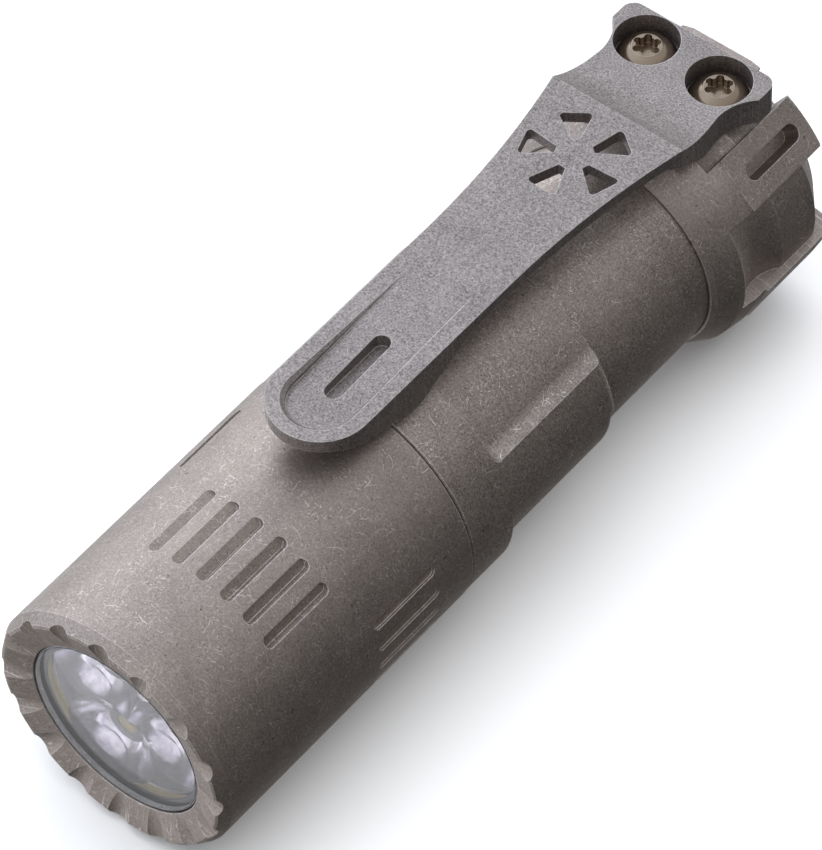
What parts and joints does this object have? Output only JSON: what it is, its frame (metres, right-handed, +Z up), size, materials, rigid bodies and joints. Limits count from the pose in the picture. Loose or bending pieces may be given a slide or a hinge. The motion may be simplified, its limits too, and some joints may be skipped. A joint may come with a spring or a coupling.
{
  "type": "keychain flashlight",
  "caption": "Short metal flashlight with a scalloped crown bezel, triple optic, waisted barrel, deep-carry pocket clip and a lugged tail cap with a push button.",
  "frame": {"origin": "under the middle of the light, on the surface that it lies on, half way along its length", "axes": "+Y from the lens to the tail, +Z up through the pocket clip, +X to the right of someone who looks along +Y"},
  "size_m": [0.0262, 0.0852, 0.0301],
  "materials": {
    "body_titanium": "stonewashed titanium",
    "clip_titanium": "bead-blasted titanium",
    "screw_steel": "polished stainless",
    "copper": "bare copper",
    "brass": "turned brass",
    "spring_steel": "plated spring wire",
    "glass": "coated mineral glass",
    "optic_plastic": "clear acrylic",
    "spacer_plastic": "white moulded",
    "emitter": "phosphor under silicone",
    "circuit_board": "solder mask",
    "white_board": "white solder mask",
    "rubber": "black rubber",
    "lead_insulation": "silicone insulation",
    "cell_can": "nickel plated",
    "cell_wrap": "heat-shrink sleeve",
    "switch_plastic": "black moulded"
  },
  "bodies": {
    "barrel": {"body_tube": "body_titanium", "neck_seal": "rubber", "tail_seal": "rubber", "battery_can": "cell_can", "battery_wrap": "cell_wrap", "battery_insulator": "spacer_plastic", "battery_button": "cell_can"},
    "head_thread": {"driver_retaining_ring": "brass"},
    "head": {"head_shell": "body_titanium", "window_glass": "glass", "window_gasket": "rubber", "triple_optic": "optic_plastic", "optic_spacer": "spacer_plastic", "led_emitter_1": "emitter", "led_emitter_2": "emitter", "led_emitter_3": "emitter", "led_board": "white_board", "board_screws": "screw_steel", "heat_sink": "copper", "lead_positive": "lead_insulation", "lead_negative": "lead_insulation", "driver_board": "circuit_board", "front_contact_spring": "spring_steel"},
    "tail_thread": {"switch_retaining_ring": "brass"},
    "tail": {"tail_cap": "body_titanium", "pocket_clip": "clip_titanium", "clip_screws": "screw_steel", "tail_contact_spring": "spring_steel", "switch_board": "circuit_board", "switch_module": "switch_plastic", "button_seal": "rubber"},
    "button": {"tail_button": "body_titanium", "switch_plunger": "switch_plastic"}
  },
  "joints": [
    {"name": "head_turn", "type": "hinge", "parent": "head_thread", "child": "head", "pos_m": [0, -0.0136, 0.0131], "axis": [0, -1, 0], "range_deg": [0, 2160]},
    {"name": "head_travel", "type": "slide", "parent": "barrel", "child": "head_thread", "axis": [0, -1, 0], "range_m": [0, 0.006]},
    {"name": "tail_turn", "type": "hinge", "parent": "tail_thread", "child": "tail", "pos_m": [0, 0.0294, 0.0131], "axis": [0, 1, 0], "range_deg": [0, 1800]},
    {"name": "tail_travel", "type": "slide", "parent": "barrel", "child": "tail_thread", "axis": [0, 1, 0], "range_m": [0, 0.005]},
    {"name": "button_press", "type": "slide", "parent": "tail", "child": "button", "axis": [0, -1, 0], "range_m": [0, 0.0009], "stiffness_N_per_m": 2500}
  ],
  "couplings": [
    {"joint": "head_travel", "follows": "head_turn", "m_per_rad": 0.00015915},
    {"joint": "tail_travel", "follows": "tail_turn", "m_per_rad": 0.00015915}
  ]
}
